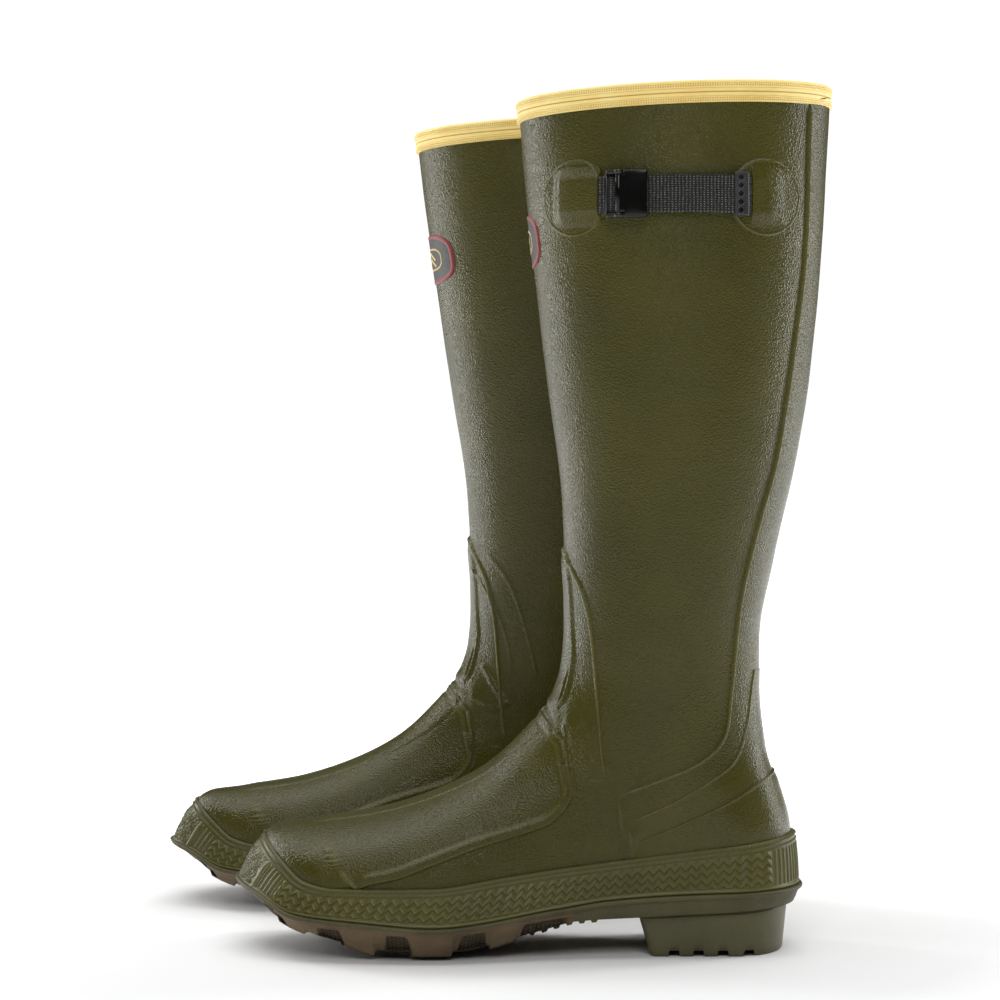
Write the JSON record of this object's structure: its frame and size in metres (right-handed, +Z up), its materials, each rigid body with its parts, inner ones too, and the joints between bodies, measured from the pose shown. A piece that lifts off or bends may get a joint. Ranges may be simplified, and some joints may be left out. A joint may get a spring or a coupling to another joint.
{
  "type": "pair of insulated rubber hunting boots",
  "caption": "Pair of knee-high insulated rubber boots with lugged soles, heel blocks, bound collars and a calf strap closed by a lever buckle.",
  "frame": {"origin": "middle of the pair's footprint box, on the ground", "axes": "+Z up, toes towards -Y, the left boot at +X and the right boot at -X"},
  "size_m": [0.2838, 0.3712, 0.4575],
  "materials": {
    "rubber": "satin, fine pebble grain, olive",
    "foxing": "satin olive with a moulded lattice",
    "outsole": "matte brown-olive, moulded",
    "heel": "matte brown-olive, moulded",
    "binding": "matte straw yellow with fine beads",
    "lining": "dark knitted lining",
    "insulation": "light closed-cell foam",
    "board": "pressed fibre board",
    "footbed": "felt over foam",
    "filler": "cork and fibre filler",
    "shank": "plain steel strip",
    "webbing": "black ribbed webbing",
    "buckle": "gloss black",
    "tip": "dark grey moulded",
    "pin": "plain steel pin",
    "badge": "matte dull red with a dark inset"
  },
  "bodies": {
    "left_boot": {"left_outsole": "outsole", "left_heel_block": "heel", "left_shank": "shank", "left_filler": "filler", "left_insole_board": "board", "left_footbed": "footbed", "left_foot_shell": "rubber", "left_leg_shell": "rubber", "left_insulation": "insulation", "left_lining": "lining", "left_back_stay": "rubber", "left_heel_counter": "rubber", "left_heel_cup": "rubber", "left_ankle_overlay": "rubber", "left_vamp_overlay": "rubber", "left_foxing": "foxing", "left_toe_guard": "foxing", "left_collar_binding": "binding", "left_badge": "badge", "left_front_patch": "rubber", "left_rear_patch": "rubber", "left_web_loop": "webbing", "left_strap_web": "webbing", "left_buckle_frame": "buckle", "left_buckle_pin": "pin"},
    "left_lever": {"left_buckle_lever": "buckle"},
    "left_strap": {"left_strap_tail": "webbing", "left_strap_tip": "tip"},
    "right_boot": {"right_outsole": "outsole", "right_heel_block": "heel", "right_shank": "shank", "right_filler": "filler", "right_insole_board": "board", "right_footbed": "footbed", "right_foot_shell": "rubber", "right_leg_shell": "rubber", "right_insulation": "insulation", "right_lining": "lining", "right_back_stay": "rubber", "right_heel_counter": "rubber", "right_heel_cup": "rubber", "right_ankle_overlay": "rubber", "right_vamp_overlay": "rubber", "right_foxing": "foxing", "right_toe_guard": "foxing", "right_collar_binding": "binding", "right_badge": "badge", "right_front_patch": "rubber", "right_rear_patch": "rubber", "right_web_loop": "webbing", "right_strap_web": "webbing", "right_buckle_frame": "buckle", "right_buckle_pin": "pin"},
    "right_lever": {"right_buckle_lever": "buckle"},
    "right_strap": {"right_strap_tail": "webbing", "right_strap_tip": "tip"}
  },
  "joints": [
    {"name": "left_lever_hinge", "type": "hinge", "parent": "left_boot", "child": "left_lever", "pos_m": [0.13802, 0.06866, 0.396], "axis": [0, 0, -1], "range_deg": [0, 110]},
    {"name": "left_strap_slide", "type": "hinge", "parent": "left_boot", "child": "left_strap", "pos_m": [0.03306, 0.10246, 0.396], "axis": [0, 0, 1], "range_deg": [0, 4]},
    {"name": "right_boot_apart", "type": "slide", "parent": "left_boot", "child": "right_boot", "axis": [-1, 0, 0], "range_m": [0, 0.2]},
    {"name": "right_lever_hinge", "type": "hinge", "parent": "right_boot", "child": "right_lever", "pos_m": [-0.13802, 0.01163, 0.396], "axis": [0, 0, 1], "range_deg": [0, 110]},
    {"name": "right_strap_slide", "type": "hinge", "parent": "right_boot", "child": "right_strap", "pos_m": [-0.03306, 0.04543, 0.396], "axis": [0, 0, -1], "range_deg": [0, 4]}
  ]
}
